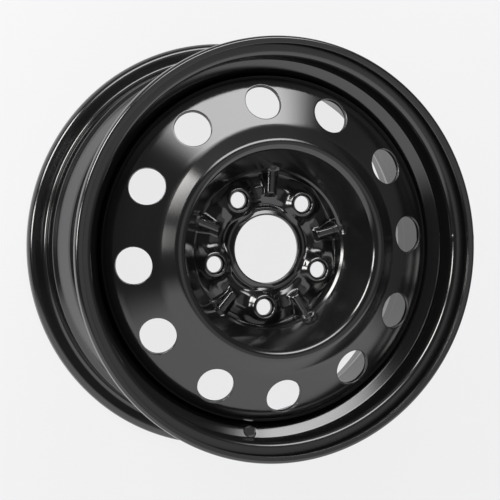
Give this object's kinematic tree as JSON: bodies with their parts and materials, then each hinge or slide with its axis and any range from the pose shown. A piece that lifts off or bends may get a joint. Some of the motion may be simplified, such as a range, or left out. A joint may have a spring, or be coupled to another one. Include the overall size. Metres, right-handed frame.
{
  "type": "steel road wheel",
  "caption": "Black pressed steel road wheel: a rolled drop-centre rim with a welded centre disc, round vents, raised nut seats and a ribbed hub.",
  "frame": {"origin": "on the wheel's axis, in the plane of the hub mounting face on the back of the disc", "axes": "+Z along the wheel's axis to its outer (street) side; +X and +Y across the wheel, with one bolt hole 50.4 degrees from +X towards +Y and the valve hole near -Y"},
  "size_m": [0.4148, 0.4146, 0.1784],
  "materials": {
    "rim_black": "gloss dip coat",
    "disc_black": "gloss dip coat",
    "weld_black": "gloss dip coat over a weld bead"
  },
  "bodies": {
    "root": {"rim": "rim_black", "disc": "disc_black", "weld_1": "weld_black", "weld_2": "weld_black", "weld_3": "weld_black", "weld_4": "weld_black", "weld_5": "weld_black", "weld_6": "weld_black", "weld_7": "weld_black", "weld_8": "weld_black"}
  },
  "joints": []
}
